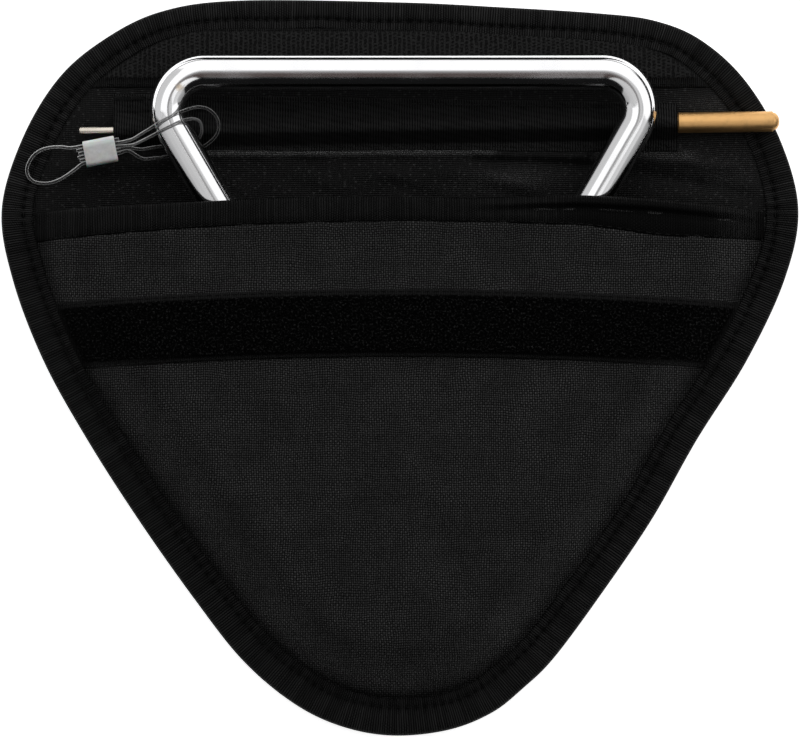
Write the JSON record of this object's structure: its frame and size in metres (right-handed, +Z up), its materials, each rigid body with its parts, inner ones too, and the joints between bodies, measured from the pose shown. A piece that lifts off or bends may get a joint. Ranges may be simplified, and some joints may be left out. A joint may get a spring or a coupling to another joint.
{
  "type": "triangle instrument set",
  "caption": "Chrome steel triangle half drawn out of its padded fabric pouch, with a brass-headed beater in the flap's sleeve and a clear nylon hanging line on a small clip.",
  "frame": {"origin": "under the middle of the open pouch, on the surface it lies on", "axes": "+Z up from the surface the pouch lies on, +Y from the pocket towards the flap, +X towards the beater's brass head"},
  "size_m": [0.2402, 0.2217, 0.0241],
  "materials": {
    "cover": "woven polyester, matt charcoal",
    "padding": "closed-cell foam sheet",
    "lining": "knitted nylon lining with a faint sheen",
    "edge_tape": "ribbed grosgrain tape",
    "soft_strip": "brushed loop pile",
    "hook_tape": "woven tape with fine plastic hooks",
    "webbing": "ribbed webbing",
    "chrome": "polished chrome plate",
    "steel": "plain drawn steel rod",
    "brass": "turned brass, satin",
    "clip": "translucent milky plastic",
    "line": "clear nylon monofilament"
  },
  "bodies": {
    "pocket": {"back_cover": "cover", "back_padding": "padding", "back_lining": "lining", "front_lining": "lining", "front_padding": "padding", "front_cover": "cover", "pocket_edge_tape": "edge_tape", "mouth_tape": "edge_tape", "loop_strip": "soft_strip"},
    "flap": {"flap_cover": "cover", "flap_padding": "padding", "flap_lining": "lining", "flap_edge_tape": "edge_tape", "hook_strip": "hook_tape", "beater_sleeve": "webbing"},
    "beater": {"beater_shaft": "steel", "beater_head": "brass"},
    "triangle": {"triangle_bar": "chrome"},
    "line_holder": {"line_clip": "clip", "hand_loop": "line", "bar_loop_outer": "line", "bar_loop_inner": "line"}
  },
  "joints": [
    {"name": "flap_fold", "type": "hinge", "parent": "pocket", "child": "flap", "pos_m": [0, 0.05382, -0.0002], "axis": [1, 0, 0], "range_deg": [-175, 0]},
    {"name": "triangle_slide", "type": "slide", "parent": "pocket", "child": "triangle", "axis": [0, 1, 0], "range_m": [-0.044, 0.095], "deforming": ["hand_loop", "bar_loop_outer", "bar_loop_inner"]},
    {"name": "beater_slide", "type": "slide", "parent": "flap", "child": "beater", "axis": [0.9999, 0.014, 0], "range_m": [0, 0.185]},
    {"name": "line_holder_swing", "type": "hinge", "parent": "triangle", "child": "line_holder", "pos_m": [-0.0682, 0.0731, 0.01425], "axis": [0, 0, 1], "range_deg": [-10, 10], "deforming": ["hand_loop", "bar_loop_outer", "bar_loop_inner"]}
  ]
}
